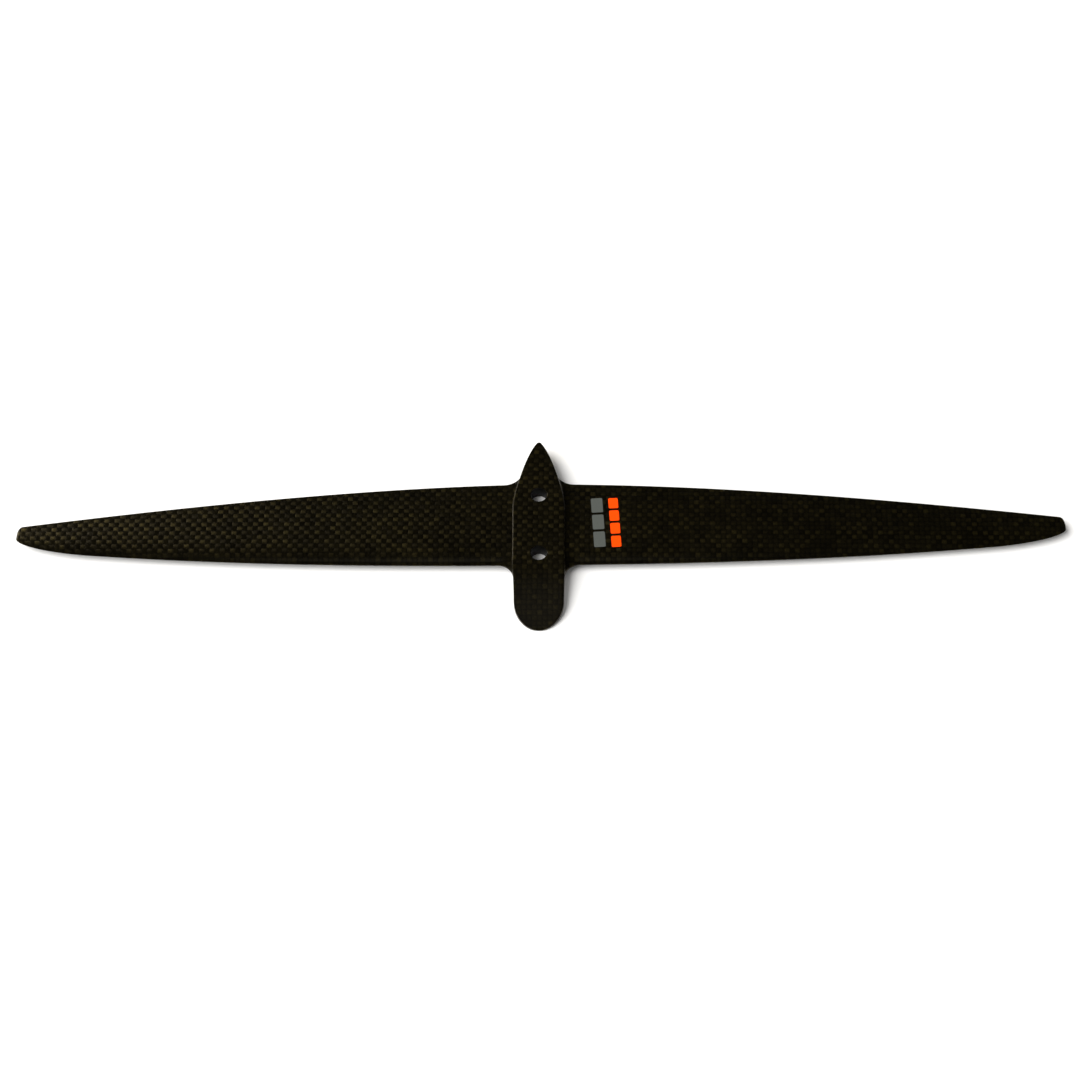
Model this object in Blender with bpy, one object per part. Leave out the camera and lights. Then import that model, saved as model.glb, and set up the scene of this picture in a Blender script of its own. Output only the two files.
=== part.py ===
# Rear stabiliser wing of a hydrofoil: a thin, tapered, carbon-fibre wing moulded in one with the hub that
# two bolts hold to the tail of the fuselage. Two moulded skins close round a spar, cores, edge fillers and
# a solid hub.
#
# Frame: X runs along the span, Y to the rear and Z up. The origin is midway between the two bolts, on the
# underside of the hub. All sizes are in metres.

import functools
import math

import bmesh
import bpy

# Wing seen from above
SPAN = 0.4196
ROOT_CHORD = 0.03805
TIP_CHORD = 0.0106  # where the edges would meet the tip if it weren't rounded
LEAD_AHEAD = 0.01775  # leading edge ahead of the origin, at the root
LEAD_SWEEP = 0.00935  # how far back the leading edge has moved at the tip
CHORD_POWER = 1.87  # how late along the span the chord shrinks
SWEEP_POWER = 2.4  # how late it moves back
TIP_ROUND = 0.030  # length of the rounded tip along the span
TIP_END = 0.0014  # chord left at the very tip
TIP_FRONT_SHARE = 0.565  # share of the tip's rounding that comes off the leading edge
TIP_REAR_ROUND = 0.0020
FRONT_FILLET = 0.0062  # where the leading edge runs into the side of the hub
REAR_FILLET = 0.0080

# Wing section
ROOT_THICKNESS = 0.0040
TRAILING_EDGE = 0.0005
WING_HEIGHT = 0.0036  # of the chord plane over the hub's underside

# Hub
HUB_WIDTH = 0.0206
HUB_STEP = 0.0012  # from the thickest part of the wing up to the top of the hub
TAIL_REACH = 0.0393  # from the origin to the tip of the tail cone
TAIL_START = 0.0080  # where the sides begin to close in
TAIL_CURVE = 1.35  # how gently they leave the parallel part
TAIL_POWER = 0.72  # how bluntly they close at the tip
TAIL_RISE_START = 0.0200  # where the underside begins to rise
TAIL_RISE = 0.0044
TAIL_RISE_POWER = 1.5
TONGUE_REACH = 0.0458
TONGUE_WIDTH = 0.0198
TONGUE_ROUND = 0.0120  # length of the rounded end
TONGUE_TIP = 0.0009  # thickness left at the end
TONGUE_SLOPE_POWER = 1.3
TOP_EDGE_ROUND = 0.0006
BOTTOM_EDGE_ROUND = 0.0012
INNER_ROUND_SHARE = 0.25  # of an edge's rounding that the inner faces keep at least
MOST_ROUND_SHARE = 0.45  # of the hub's width or height that one rounded edge may take up
TONGUE_TRIM = 0.00015  # taken off each end, where the outline closes to nothing
TAIL_TRIM = 0.0002

# Bolt holes, for M6 bolts
BOLT_SPACING = 0.0273
BOLT_HOLE = 0.0066
SLEEVE_WALL = 0.0008

# Lay-up
SKIN = 0.0005
BOND = 0.00015  # glue line between two pieces
CORE_EDGE = 0.00025  # half height at which a hollow of the wing ends
TIP_SOLID = 0.045  # length of each tip where the two skins meet with nothing between them
SPAR_CLEARANCE = 0.0020  # from the front bolt's sleeve back to the spar
SPAR_SHARE = 0.26  # width of the spar over the chord
ROVING_SHARE = 0.30  # of the room ahead of the spar
STRIP_SHARE = 0.30  # of the room behind the spar
HUB_CORE_AHEAD = 0.0062  # from the front sleeve to the front of the solid part of the hub
HUB_CORE_BEHIND = 0.0028  # from the rear sleeve to its rear
TONGUE_CORE_REACH = 0.0360
TAIL_CORE_REACH = 0.0335
PARTING_FLAT = 0.0270  # the joint between the skins is level this far ahead of and behind the origin

# Printed markings on the right wing
MARK_START = 0.0208  # from the centreline to the near edge of the grey bar
GREY_WIDTH = 0.0046
ORANGE_WIDTH = 0.0038
MARK_SPACE = 0.0024
MARK_FRONT = -0.0108
MARK_REAR = 0.0130
MARK_LEAN = math.radians(3)
FILM = 0.0001
FILM_LIFT = 0.00005  # of the film over the skin

HALF_SPAN = SPAN / 2
HUB_HALF = HUB_WIDTH / 2
HUB_HEIGHT = WING_HEIGHT + ROOT_THICKNESS / 2 + HUB_STEP
CORE_END = HALF_SPAN - TIP_SOLID
FILLER_START = HUB_HALF - SKIN + BOND  # where a wing's cores meet the side of the hub's core
BORE = BOLT_HOLE / 2
SLEEVE_RADIUS = BORE + SLEEVE_WALL
SLEEVE_END = BOLT_SPACING / 2 + SLEEVE_RADIUS
HUB_CORE_FRONT = SLEEVE_END + HUB_CORE_AHEAD
HUB_CORE_REAR = SLEEVE_END + HUB_CORE_BEHIND
SPAR_AHEAD = BOLT_SPACING / 2 - SLEEVE_RADIUS - SPAR_CLEARANCE
SPAR_FRONT_SHARE = (LEAD_AHEAD - SPAR_AHEAD) / ROOT_CHORD

# How finely the curves are divided
CHORD_POINTS = 12
ROVING_POINTS = 4
NOSE_POINTS = 3
SPAR_POINTS = 3
AFT_POINTS = 4
STRIP_POINTS = 2
ROVING_CROWDING = 1.6  # brings the points closer towards the nose, where the section curves most
BISECTIONS = 40
SLOPE_STEP = 0.00001
ROUND_SIDES = 32
FILLET_STATIONS = 6
WING_STATIONS = 8
TIP_STATIONS = 9
HUB_STATION_SHARES = (0, 0.35, 0.7)  # of the hub's half width
SKIN_STATIONS = 26
HUB_CORE_STATIONS = 12
END_CORE_STATIONS = 6
MARK_STEPS = 10
SMOOTH_ANGLE = math.radians(35)
WELD = 0.000001

# How far the cutting shapes reach past what they cut
PARTING_ROOM = 0.02
BORE_ROOM = 0.002


def clear_scene():
    for old in list(bpy.data.objects):
        bpy.data.objects.remove(old, do_unlink=True)


def new_collection(name):
    collection = bpy.data.collections.new(name)
    bpy.context.scene.collection.children.link(collection)
    return collection


def new_material(name, color, roughness, metallic=0.0):
    material = bpy.data.materials.new(name)
    material.use_nodes = True
    shader = material.node_tree.nodes["Principled BSDF"]
    shader.inputs["Base Color"].default_value = (*color, 1)
    shader.inputs["Roughness"].default_value = roughness
    shader.inputs["Metallic"].default_value = metallic
    material.diffuse_color = (*color, 1)
    return material


# ---- shapes seen from above and from the side


def quarter(share):
    """How far a quarter circle of radius 1 has left its tangent, for a share of 0 to 1 along it."""
    share = min(max(share, 0), 1)
    return 1 - math.sqrt(1 - share * share)


def nominal_lead(x):
    """The leading edge, without the fillet at the hub or the rounded tip."""
    return -LEAD_AHEAD + LEAD_SWEEP * (abs(x) / HALF_SPAN) ** SWEEP_POWER


def nominal_chord(x):
    return ROOT_CHORD - (ROOT_CHORD - TIP_CHORD) * (abs(x) / HALF_SPAN) ** CHORD_POWER


def front_fillet_centre():
    """X of the centre of the circle between the leading edge and the tongue's side."""
    return hub_half_width(-LEAD_AHEAD - FRONT_FILLET) + FRONT_FILLET


@functools.cache
def rear_fillet():
    """X of the centre of the circle between the trailing edge and the tail, and X where it meets the tail."""
    edge = ROOT_CHORD - LEAD_AHEAD
    low, high = edge, TAIL_REACH
    for _ in range(BISECTIONS):
        y = (low + high) / 2
        touch = hub_half_width(y)
        closing = (hub_half_width(y - SLOPE_STEP) - touch) / SLOPE_STEP
        length = math.hypot(1, closing)
        if y + REAR_FILLET * closing / length > edge + REAR_FILLET:
            high = y
        else:
            low = y
    return touch + REAR_FILLET / length, touch


def leading_edge(x):
    rounding = (TIP_CHORD - TIP_END) * TIP_FRONT_SHARE
    past_start = (abs(x) - HALF_SPAN + TIP_ROUND) / TIP_ROUND
    into_fillet = (front_fillet_centre() - abs(x)) / FRONT_FILLET
    return nominal_lead(x) + rounding * quarter(past_start) - FRONT_FILLET * quarter(into_fillet)


def trailing_edge(x):
    rounding = (TIP_CHORD - TIP_END) * (1 - TIP_FRONT_SHARE)
    past_start = (abs(x) - HALF_SPAN + TIP_REAR_ROUND) / TIP_REAR_ROUND
    centre, touch = rear_fillet()
    into_fillet = (centre - max(abs(x), touch)) / REAR_FILLET
    edge = nominal_lead(x) + nominal_chord(x)
    return edge - rounding * quarter(past_start) + REAR_FILLET * quarter(into_fillet)


def half_thickness(x, y):
    """Half the wing's thickness: the NACA four-digit law, opened to a trailing edge that can be moulded."""
    front = leading_edge(x)
    chord = trailing_edge(x) - front
    share = min(max((y - front) / chord, 0), 1)
    law = 0.2969 * math.sqrt(share) - 0.1260 * share - 0.3516 * share**2
    law += 0.2843 * share**3 - 0.1015 * share**4
    thickness = ROOT_THICKNESS * min(chord, nominal_chord(x)) / ROOT_CHORD
    return 5 * law * thickness + share * TRAILING_EDGE / 2


def hub_half_width(y):
    """Half the hub's width: parallel sides, a pointed tail and a tongue with an elliptical end."""
    if y > TAIL_START:
        along = min((y - TAIL_START) / (TAIL_REACH - TAIL_START), 1)
        return HUB_HALF * (1 - along**TAIL_CURVE) ** TAIL_POWER
    if y > -LEAD_AHEAD:
        return HUB_HALF
    ahead = (-LEAD_AHEAD - y) / (TONGUE_REACH - LEAD_AHEAD - TONGUE_ROUND)
    ease = min(ahead, 1)
    half = HUB_HALF + (TONGUE_WIDTH / 2 - HUB_HALF) * ease * ease * (3 - 2 * ease)
    into_end = min(max((-y - TONGUE_REACH + TONGUE_ROUND) / TONGUE_ROUND, 0), 1)
    return half * math.sqrt(1 - into_end**2)


def hub_top(y):
    if y > -LEAD_AHEAD:
        return HUB_HEIGHT
    along = min((-LEAD_AHEAD - y) / (TONGUE_REACH - LEAD_AHEAD), 1)
    return HUB_HEIGHT - (HUB_HEIGHT - TONGUE_TIP) * along**TONGUE_SLOPE_POWER


def hub_bottom(y):
    along = min(max((y - TAIL_RISE_START) / (TAIL_REACH - TAIL_RISE_START), 0), 1)
    return TAIL_RISE * along**TAIL_RISE_POWER


# ---- sections and lofts


def wing_ring(x):
    """The wing's outline at x, from the upper trailing edge round the nose to the lower one."""
    front = leading_edge(x)
    chord = trailing_edge(x) - front
    upper = []
    for i in range(CHORD_POINTS + 1):
        y = front + chord * (1 - math.cos(math.pi * i / CHORD_POINTS)) / 2
        upper.append((x, y, half_thickness(x, y)))
    lower = [(px, y, -half) for px, y, half in upper[1:]]
    return [(px, y, WING_HEIGHT + z) for px, y, z in upper[::-1] + lower]


def chord_places(front, rear, points, crowding=1.0):
    return [front + (rear - front) * (i / points) ** crowding for i in range(points + 1)]


def slab_ring(x, places, inset):
    """A slice of the wing's section over some places on the chord, inset from both surfaces."""
    upper = [(x, y, WING_HEIGHT + half_thickness(x, y) - inset) for y in places]
    lower = [(x, y, WING_HEIGHT - half_thickness(x, y) + inset) for y in places[::-1]]
    return upper + lower


def thin_place(x, outside, inside):
    """The place between outside and inside where the hollow between the skins becomes too thin to fill."""
    for _ in range(BISECTIONS):
        middle = (outside + inside) / 2
        if half_thickness(x, middle) > SKIN + CORE_EDGE:
            inside = middle
        else:
            outside = middle
    return inside


def spar_front(x):
    return nominal_lead(x) + SPAR_FRONT_SHARE * nominal_chord(x)


def spar_rear(x):
    return spar_front(x) + SPAR_SHARE * nominal_chord(x)


def cavity_front(x):
    return thin_place(x, leading_edge(x), spar_front(x))


def cavity_rear(x):
    return thin_place(x, trailing_edge(x), spar_rear(x))


def roving_rear(x):
    return cavity_front(x) + ROVING_SHARE * (spar_front(x) - cavity_front(x))


def strip_front(x):
    return cavity_rear(x) - STRIP_SHARE * (cavity_rear(x) - spar_rear(x))


def roving_places(x, gap):
    return chord_places(cavity_front(x) + gap, roving_rear(x), ROVING_POINTS, ROVING_CROWDING)


def nose_places(x, gap):
    return chord_places(roving_rear(x) + gap, spar_front(x) - gap, NOSE_POINTS)


def spar_places(x, gap):
    """Over the spar itself; a gap below nothing widens it."""
    return chord_places(spar_front(x) + gap, spar_rear(x) - gap, SPAR_POINTS)


def aft_places(x, gap):
    return chord_places(spar_rear(x) + gap, strip_front(x) - gap, AFT_POINTS)


def strip_places(x, gap):
    return chord_places(strip_front(x), cavity_rear(x) - gap, STRIP_POINTS)


def cavity_places(x):
    """From end to end of the hollow, over the same places as the pieces that fill it."""
    places = roving_places(x, 0)
    for piece in (nose_places, spar_places, aft_places, strip_places):
        places += piece(x, 0)[1:]
    return places


def hub_ring(y, inset):
    """The hub's cross-section at y: a rectangle with rounded corners, inset all round."""
    half = hub_half_width(y) - inset
    top = hub_top(y) - inset
    bottom = hub_bottom(y) + inset
    most = MOST_ROUND_SHARE * min(2 * half, top - bottom)
    ring = []
    for side_x, side_z, start in ((1, 1, 0), (-1, 1, 90), (-1, -1, 180), (1, -1, 270)):
        edge = TOP_EDGE_ROUND if side_z > 0 else BOTTOM_EDGE_ROUND
        radius = min(max(edge - inset, edge * INNER_ROUND_SHARE), most)
        for turn in (0, 45, 90):
            angle = math.radians(start + turn)
            x = side_x * (half - radius) + radius * math.cos(angle)
            z = (top - radius if side_z > 0 else bottom + radius) + radius * math.sin(angle)
            ring.append((x, y, z))
    return ring


def quarter_turn(length, count):
    """Distances along a quarter circle or ellipse, closer towards its steep end."""
    return [length * math.sin(math.pi / 2 * i / count) for i in range(1, count + 1)]


def span_stations():
    """Places along one wing, from the centreline to the tip, closer where the outline curves."""
    fillet_end = front_fillet_centre()
    round_start = HALF_SPAN - TIP_ROUND
    straight = round_start - fillet_end
    inner = [share * HUB_HALF for share in HUB_STATION_SHARES] + [FILLER_START]
    fillet = [fillet_end - back for back in quarter_turn(FRONT_FILLET, FILLET_STATIONS)]
    along = [fillet_end + straight * i / WING_STATIONS for i in range(WING_STATIONS + 1)]
    tip = [round_start + out for out in quarter_turn(TIP_ROUND, TIP_STATIONS)]
    return sorted(inner + fillet + along + tip)


def stations_between(start, end):
    return [start] + [x for x in span_stations() if start < x < end] + [end]


def hub_stations(front, rear, count):
    """Places along the hub, closer towards both ends."""
    middle = (front + rear) / 2
    half = (rear - front) / 2
    return [middle - half * math.cos(math.pi * i / count) for i in range(count + 1)]


def hub_core_places():
    """Places along the tongue's core, the hub's own and the tail's."""
    return (
        hub_stations(-TONGUE_CORE_REACH, -HUB_CORE_FRONT - BOND, END_CORE_STATIONS),
        hub_stations(-HUB_CORE_FRONT, HUB_CORE_REAR, HUB_CORE_STATIONS),
        hub_stations(HUB_CORE_REAR + BOND, TAIL_CORE_REACH, END_CORE_STATIONS),
    )


def hub_hollow_places():
    """From end to end of the hub's hollow, over the same places as the cores that fill it."""
    places = [y for core in hub_core_places() for y in core]
    return [places[0] - BOND] + places + [places[-1] + BOND]


def loft(name, rings, material, collection):
    """A closed solid through rings with the same number of points."""
    shape = bmesh.new()
    loops = [[shape.verts.new(point) for point in ring] for ring in rings]
    for one, two in zip(loops, loops[1:]):
        for i in range(len(one)):
            j = (i + 1) % len(one)
            shape.faces.new((one[i], one[j], two[j], two[i]))
    shape.faces.new(loops[0])
    shape.faces.new(loops[-1])
    bmesh.ops.recalc_face_normals(shape, faces=shape.faces)
    return finish_mesh(name, shape, material, collection)


def finish_mesh(name, shape, material, collection):
    mesh = bpy.data.meshes.new(name)
    shape.to_mesh(mesh)
    shape.free()
    mesh.shade_smooth()
    mesh.set_sharp_from_angle(angle=SMOOTH_ANGLE)
    if material:
        mesh.materials.append(material)
    made = bpy.data.objects.new(name, mesh)
    collection.objects.link(made)
    return made


def as_cutter(made):
    made.hide_render = True
    made.display_type = "WIRE"
    return made


def boolean(made, other, operation):
    modifier = made.modifiers.new(f"{operation.lower()} {other.name}", "BOOLEAN")
    modifier.operation = operation
    modifier.solver = "EXACT"
    modifier.object = other


def cylinder(name, radius, bottom, top, y, collection):
    shape = bmesh.new()
    bmesh.ops.create_cone(
        shape, cap_ends=True, segments=ROUND_SIDES, radius1=radius, radius2=radius, depth=top - bottom
    )
    bmesh.ops.translate(shape, verts=shape.verts, vec=(0, y, (top + bottom) / 2))
    return finish_mesh(name, shape, None, collection)


def extruded_profile(name, points, half_width, collection):
    """An outline in the YZ plane, given as (y, z), drawn out along X to both sides."""
    curve = bpy.data.curves.new(name, "CURVE")
    curve.dimensions = "2D"
    curve.fill_mode = "BOTH"
    curve.extrude = half_width
    spline = curve.splines.new("POLY")
    spline.points.add(len(points) - 1)
    for point, (y, z) in zip(spline.points, points):
        point.co = (y, z, 0, 1)
    spline.use_cyclic_u = True
    drawn = bpy.data.objects.new(name + " curve", curve)
    drawn.rotation_euler = (math.pi / 2, 0, math.pi / 2)
    collection.objects.link(drawn)
    bpy.context.view_layer.update()
    graph = bpy.context.evaluated_depsgraph_get()
    mesh = bpy.data.meshes.new_from_object(drawn.evaluated_get(graph))
    shape = bmesh.new()
    shape.from_mesh(mesh)
    bmesh.ops.remove_doubles(shape, verts=shape.verts, dist=WELD)
    bmesh.ops.recalc_face_normals(shape, faces=shape.faces)
    made = finish_mesh(name, shape, None, collection)
    made.matrix_world = drawn.matrix_world
    bpy.data.objects.remove(drawn, do_unlink=True)
    bpy.data.meshes.remove(mesh)
    return made


# ---- cutters


def parting_halves(cutters):
    """The spaces above and below the joint between the skins, each half a glue line away from it."""
    far_front = -TONGUE_REACH - PARTING_ROOM
    far_rear = TAIL_REACH + PARTING_ROOM
    tongue_z = (hub_top(-TONGUE_REACH) + hub_bottom(-TONGUE_REACH)) / 2
    tail_z = (hub_top(TAIL_REACH) + hub_bottom(TAIL_REACH)) / 2
    line = [
        (far_front, tongue_z),
        (-TONGUE_REACH, tongue_z),
        (-PARTING_FLAT, WING_HEIGHT),
        (PARTING_FLAT, WING_HEIGHT),
        (TAIL_REACH, tail_z),
        (far_rear, tail_z),
    ]
    halves = []
    for name, sign in (("above_joint", 1), ("below_joint", -1)):
        points = [(y, z + sign * BOND / 2) for y, z in line]
        points += [(far_rear, sign * PARTING_ROOM), (far_front, sign * PARTING_ROOM)]
        halves.append(as_cutter(extruded_profile(name, points, HALF_SPAN + PARTING_ROOM, cutters)))
    return halves


def bolt_places():
    return (("front", -BOLT_SPACING / 2), ("rear", BOLT_SPACING / 2))


def bolt_cutters(name, radius, cutters):
    return [
        as_cutter(cylinder(f"{end}_{name}", radius, -BORE_ROOM, HUB_HEIGHT + BORE_ROOM, y, cutters))
        for end, y in bolt_places()
    ]


# ---- pieces


def both_sides(places):
    return [-x for x in places[:0:-1]] + places


def make_skins(parts, cutters, halves):
    weave = new_material("carbon cloth", (0.012, 0.012, 0.010), 0.22)
    wing_rings = [wing_ring(x) for x in both_sides(span_stations())]
    hub_outside = hub_stations(-TONGUE_REACH + TONGUE_TRIM, TAIL_REACH - TAIL_TRIM, SKIN_STATIONS)
    hub = as_cutter(loft("hub_outside", [hub_ring(y, 0) for y in hub_outside], None, cutters))
    hollow = both_sides(stations_between(0, CORE_END))
    wing_cavity = [slab_ring(x, cavity_places(x), SKIN) for x in hollow]
    wing_inside = as_cutter(loft("wing_inside", wing_cavity, None, cutters))
    hub_cavity = [hub_ring(y, SKIN) for y in hub_hollow_places()]
    hub_inside = as_cutter(loft("hub_inside", hub_cavity, None, cutters))
    bores = bolt_cutters("bore", BORE, cutters)
    for name, half in zip(("upper_skin", "lower_skin"), halves):
        skin = loft(name, wing_rings, weave, parts)
        boolean(skin, hub, "UNION")
        for cutter in (wing_inside, hub_inside, *bores):
            boolean(skin, cutter, "DIFFERENCE")
        boolean(skin, half, "INTERSECT")


def make_spar(parts):
    material = new_material("unidirectional carbon", (0.02, 0.02, 0.02), 0.45)
    places = both_sides(stations_between(0, CORE_END - BOND))
    rings = [slab_ring(x, spar_places(x, 0), SKIN + BOND) for x in places]
    loft("main_spar", rings, material, parts)


def make_fillers(parts):
    """The cores and edge fillers of each wing, from the hub's hollow out to the solid tip."""
    foam = new_material("structural foam", (0.75, 0.68, 0.42), 0.8)
    roving = new_material("carbon roving", (0.03, 0.03, 0.03), 0.5)
    resin = new_material("filled resin", (0.16, 0.15, 0.14), 0.5)
    pieces = (
        ("leading_edge_roving", roving_places, roving),
        ("nose_core", nose_places, foam),
        ("aft_core", aft_places, foam),
        ("trailing_edge_strip", strip_places, resin),
    )
    places = stations_between(FILLER_START, CORE_END - BOND)
    for side, sign in (("left", -1), ("right", 1)):
        for name, chordwise, material in pieces:
            rings = [slab_ring(sign * x, chordwise(x, BOND), SKIN + BOND) for x in places]
            loft(f"{side}_{name}", rings, material, parts)


def make_hub(parts, cutters, halves):
    """Two halves of solid laminate round the bolts, the spar let in between, and a filler at each end."""
    laminate = new_material("solid carbon laminate", (0.025, 0.025, 0.025), 0.4)
    filler = new_material("fibre-filled resin", (0.10, 0.10, 0.09), 0.5)
    inset = SKIN + BOND
    channel_places = both_sides(stations_between(0, HUB_HALF + BOND))
    channel_rings = [slab_ring(x, spar_places(x, -BOND), SKIN) for x in channel_places]
    channel = as_cutter(loft("spar_channel", channel_rings, None, cutters))
    clearances = bolt_cutters("sleeve_room", SLEEVE_RADIUS + BOND, cutters)
    tongue, core, tail = ([hub_ring(y, inset) for y in places] for places in hub_core_places())
    for name, half in zip(("upper_hub_core", "lower_hub_core"), halves):
        laid = loft(name, core, laminate, parts)
        for cutter in (channel, *clearances):
            boolean(laid, cutter, "DIFFERENCE")
        boolean(laid, half, "INTERSECT")
    loft("tongue_core", tongue, filler, parts)
    loft("tail_core", tail, filler, parts)


def make_sleeves(parts, cutters):
    glass = new_material("glass-fibre tube", (0.05, 0.055, 0.05), 0.3)
    bores = bolt_cutters("sleeve_bore", BORE, cutters)
    for (end, y), bore in zip(bolt_places(), bores):
        sleeve = cylinder(
            f"{end}_bolt_sleeve", SLEEVE_RADIUS, SKIN + BOND, HUB_HEIGHT - SKIN - BOND, y, parts
        )
        sleeve.data.materials.append(glass)
        boolean(sleeve, bore, "DIFFERENCE")


def make_marks(parts):
    """Two plain bars of printed film on the right wing, side by side."""
    grey = new_material("grey film", (0.12, 0.125, 0.12), 0.35)
    orange = new_material("orange film", (1.0, 0.09, 0.003), 0.35)
    orange_start = MARK_START + GREY_WIDTH + MARK_SPACE
    bars = (
        ("grey_marking", MARK_START, GREY_WIDTH, grey),
        ("orange_marking", orange_start, ORANGE_WIDTH, orange),
    )
    lean = math.tan(MARK_LEAN)
    for name, start, width, material in bars:
        rings = []
        for i in range(MARK_STEPS + 1):
            y = MARK_REAR + (MARK_FRONT - MARK_REAR) * i / MARK_STEPS
            edges = [start + share * width + lean * (MARK_REAR - y) for share in (0, 0.5, 1)]
            surface = [(x, y, WING_HEIGHT + half_thickness(x, y)) for x in edges]
            under = [(x, y, z + FILM_LIFT) for x, y, z in surface]
            over = [(x, y, z + FILM_LIFT + FILM) for x, y, z in surface]
            rings.append(under + over[::-1])
        loft(name, rings, material, parts)


def main():
    clear_scene()
    parts = new_collection("rear_stabiliser_wing")
    cutters = new_collection("cutters")
    halves = parting_halves(cutters)
    make_skins(parts, cutters, halves)
    make_spar(parts)
    make_fillers(parts)
    make_hub(parts, cutters, halves)
    make_sleeves(parts, cutters)
    make_marks(parts)


main()
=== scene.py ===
import functools
import math

import bpy
from mathutils import Euler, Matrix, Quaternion, Vector


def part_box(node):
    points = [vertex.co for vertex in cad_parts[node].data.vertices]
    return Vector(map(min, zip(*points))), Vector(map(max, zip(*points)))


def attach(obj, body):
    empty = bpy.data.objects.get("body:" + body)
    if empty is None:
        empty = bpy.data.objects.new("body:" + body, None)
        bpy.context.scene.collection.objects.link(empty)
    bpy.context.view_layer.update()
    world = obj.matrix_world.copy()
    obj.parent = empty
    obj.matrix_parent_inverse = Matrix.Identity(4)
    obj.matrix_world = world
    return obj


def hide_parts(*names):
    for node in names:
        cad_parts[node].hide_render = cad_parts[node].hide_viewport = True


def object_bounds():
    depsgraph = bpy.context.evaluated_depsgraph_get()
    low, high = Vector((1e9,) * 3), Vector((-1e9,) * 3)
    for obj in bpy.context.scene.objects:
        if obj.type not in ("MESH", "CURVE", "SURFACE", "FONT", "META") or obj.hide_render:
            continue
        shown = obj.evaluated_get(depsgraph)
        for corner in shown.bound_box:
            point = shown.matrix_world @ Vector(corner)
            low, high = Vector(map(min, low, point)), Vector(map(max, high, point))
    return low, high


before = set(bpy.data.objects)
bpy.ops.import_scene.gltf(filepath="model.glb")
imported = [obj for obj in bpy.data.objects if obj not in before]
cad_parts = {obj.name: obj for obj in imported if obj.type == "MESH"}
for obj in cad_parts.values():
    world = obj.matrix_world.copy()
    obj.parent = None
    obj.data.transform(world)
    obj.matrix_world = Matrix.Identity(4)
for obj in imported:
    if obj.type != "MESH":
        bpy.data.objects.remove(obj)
cadLow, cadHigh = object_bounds()
mm = 0.001
bisections = 40  # halvings when a place is looked for between two others
slopeStep = 0.01 * mm
creaseAngle = math.radians(40)  # a sharper edge than this stays sharp in the shading
print("frame loaded:", len(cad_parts), "nodes")

wing = {
    "halfSpan": cadHigh.x,
    "rootChord": 38.05 * mm,
    "tipChord": 10.6 * mm,  # where the edges would meet the tip if it weren't rounded
    "leadAhead": 17.75 * mm,
    "leadSweep": 9.35 * mm,
    "chordPower": 1.87,
    "sweepPower": 2.4,
    "tipRound": 30 * mm,
    "tipEnd": 1.4 * mm,
    "tipFrontShare": 0.565,
    "tipRearRound": 2.0 * mm,
    "tipEdge": 0.6 * mm,
    "thickness": 4.0 * mm,
    "trailingEdge": 0.5 * mm,
    "height": 3.6 * mm,  # of the chord plane above the underside of the hub
    "frontFillet": 6.2 * mm,
    "rearFillet": 8.0 * mm,
}


def clamp(value, low=0.0, high=1.0):
    return max(low, min(high, value))


def smooth(share):  # leaves 0 and reaches 1 without a kink
    share = clamp(share)
    return share * share * (3 - 2 * share)


def quarter(share):  # quarter circle that starts level and ends upright
    return 1 - math.sqrt(1 - clamp(share) ** 2)


def plainLead(x):  # leading edge without the rounded tip and the fillet at the hub
    w = wing
    return -w["leadAhead"] + w["leadSweep"] * (abs(x) / w["halfSpan"]) ** w["sweepPower"]


def leadingEdge(x):
    w = wing
    x = abs(x)
    tip = quarter((x - w["halfSpan"] + w["tipRound"]) / w["tipRound"])
    centre = hubHalfWidth(-w["leadAhead"] - w["frontFillet"]) + w["frontFillet"]
    root = quarter((centre - x) / w["frontFillet"])
    return plainLead(x) + (w["tipChord"] - w["tipEnd"]) * w["tipFrontShare"] * tip - w["frontFillet"] * root


def plainChord(x):  # between the two edges, without tip and fillets
    w = wing
    lost = (abs(x) / w["halfSpan"]) ** w["chordPower"]
    return w["rootChord"] - (w["rootChord"] - w["tipChord"]) * lost


def trailingEdge(x):
    w = wing
    x = abs(x)
    tip = quarter((x - w["halfSpan"] + w["tipRearRound"]) / w["tipRearRound"])
    tipLoss = (w["tipChord"] - w["tipEnd"]) * (1 - w["tipFrontShare"]) * tip
    centre, touch = rearFilletPlace()
    root = quarter((centre - max(x, touch)) / w["rearFillet"])
    return plainLead(x) + plainChord(x) - tipLoss + w["rearFillet"] * root


@functools.lru_cache
def rearFilletPlace():  # x of the centre of the circle between trailing edge and tail, and of its end
    radius = wing["rearFillet"]
    rear = plainChord(hub["halfWidth"]) - wing["leadAhead"]
    low = rear
    high = rear + radius
    for _ in range(bisections):
        y = (low + high) / 2
        slope = (hubHalfWidth(y - slopeStep) - hubHalfWidth(y + slopeStep)) / (2 * slopeStep)
        if rear + radius - y > radius * slope / math.hypot(1, slope):
            low = y
        else:
            high = y
    touch = hubHalfWidth(y)
    return touch + radius / math.hypot(1, slope), touch


def sectionLaw(share):  # half thickness of a symmetrical section over its full thickness, divided by 5
    return (0.2969 * math.sqrt(share) - 0.1260 * share - 0.3516 * share ** 2
            + 0.2843 * share ** 3 - 0.1015 * share ** 4)


def wingRise(x, y):  # from the chord plane to the skin
    w = wing
    front = leadingEdge(x)
    rear = trailingEdge(x)
    share = clamp((y - front) / (rear - front))
    thick = w["thickness"] * min(rear - front, plainChord(x)) / w["rootChord"]
    rise = 5 * sectionLaw(share) * thick + share * w["trailingEdge"] / 2
    edge = 1 - clamp((rear - y) / (w["trailingEdge"] / 2))
    tip = 1 - clamp((w["halfSpan"] - abs(x)) / w["tipEdge"])
    return rise * math.sqrt(1 - edge ** 2) * math.sqrt(1 - tip ** 2)


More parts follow.
